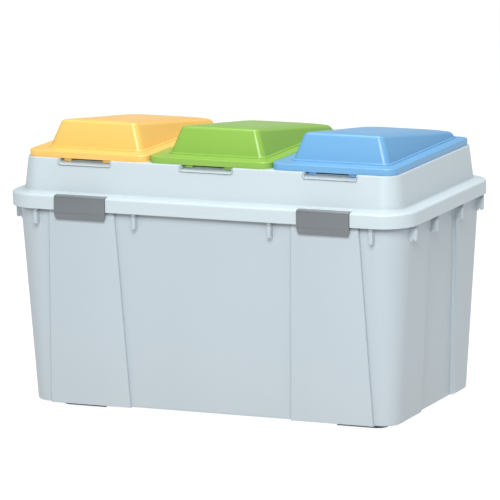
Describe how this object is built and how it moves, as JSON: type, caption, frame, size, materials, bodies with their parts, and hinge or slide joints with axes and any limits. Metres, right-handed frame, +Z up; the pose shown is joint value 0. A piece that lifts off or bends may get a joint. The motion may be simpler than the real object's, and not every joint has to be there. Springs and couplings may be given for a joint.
{
  "type": "recycling bin station",
  "caption": "Wide recycling station: one drafted grey tub with a latched lift-off cover and hinged wedge-shaped coloured lids over parted compartments.",
  "frame": {"origin": "on the floor, under the centre of the station's overall box", "axes": "+X along the row of lids from orange to blue, the front with the finger slots faces -Y, +Z up"},
  "size_m": [0.78, 0.458, 0.525],
  "materials": {
    "tub_grey": "satin moulded polypropylene, cool light grey",
    "cover_grey": "satin moulded polypropylene, slightly lighter cool grey",
    "lid_orange": "semi-gloss moulded polypropylene, orange yellow",
    "lid_green": "semi-gloss moulded polypropylene, leaf green",
    "lid_blue": "semi-gloss moulded polypropylene, sky blue",
    "latch_grey": "satin moulded plastic, mid grey",
    "pin_steel": "plain drawn steel rod",
    "divider_white": "satin moulded polypropylene, off white",
    "ring_coated": "wire with a grey powder coat",
    "foot_black": "matt black rubber"
  },
  "bodies": {
    "base": {"tub": "tub_grey", "divider_left": "divider_white", "divider_right": "divider_white", "bag_ring_left": "ring_coated", "bag_ring_middle": "ring_coated", "bag_ring_right": "ring_coated", "foot_front_left": "foot_black", "foot_front_right": "foot_black", "foot_rear_left": "foot_black", "foot_rear_right": "foot_black"},
    "cover": {"cover": "cover_grey", "hinge_pins_orange": "pin_steel", "hinge_pins_green": "pin_steel", "hinge_pins_blue": "pin_steel", "latch_pin_front_left": "pin_steel", "latch_pin_front_right": "pin_steel", "latch_pin_rear_left": "pin_steel", "latch_pin_rear_right": "pin_steel"},
    "lid_orange": {"lid_orange": "lid_orange"},
    "lid_green": {"lid_green": "lid_green"},
    "lid_blue": {"lid_blue": "lid_blue"},
    "latch_front_left": {"latch_front_left": "latch_grey"},
    "latch_front_right": {"latch_front_right": "latch_grey"},
    "latch_rear_left": {"latch_rear_left": "latch_grey"},
    "latch_rear_right": {"latch_rear_right": "latch_grey"}
  },
  "joints": [
    {"name": "cover_lift", "type": "slide", "parent": "base", "child": "cover", "axis": [0, 0, 1], "range_m": [0, 0.12]},
    {"name": "lid_orange_hinge", "type": "hinge", "parent": "cover", "child": "lid_orange", "pos_m": [-0.2375, 0.196, 0.468], "axis": [-1, 0, 0], "range_deg": [0, 100]},
    {"name": "lid_green_hinge", "type": "hinge", "parent": "cover", "child": "lid_green", "pos_m": [0, 0.196, 0.468], "axis": [-1, 0, 0], "range_deg": [0, 100]},
    {"name": "lid_blue_hinge", "type": "hinge", "parent": "cover", "child": "lid_blue", "pos_m": [0.2375, 0.196, 0.468], "axis": [-1, 0, 0], "range_deg": [0, 100]},
    {"name": "latch_front_left_hinge", "type": "hinge", "parent": "cover", "child": "latch_front_left", "pos_m": [-0.235, -0.2215, 0.3943], "axis": [-1, 0, 0], "range_deg": [0, 95]},
    {"name": "latch_front_right_hinge", "type": "hinge", "parent": "cover", "child": "latch_front_right", "pos_m": [0.235, -0.2215, 0.3943], "axis": [-1, 0, 0], "range_deg": [0, 95]},
    {"name": "latch_rear_left_hinge", "type": "hinge", "parent": "cover", "child": "latch_rear_left", "pos_m": [-0.235, 0.2215, 0.3943], "axis": [1, 0, 0], "range_deg": [0, 95]},
    {"name": "latch_rear_right_hinge", "type": "hinge", "parent": "cover", "child": "latch_rear_right", "pos_m": [0.235, 0.2215, 0.3943], "axis": [1, 0, 0], "range_deg": [0, 95]}
  ]
}
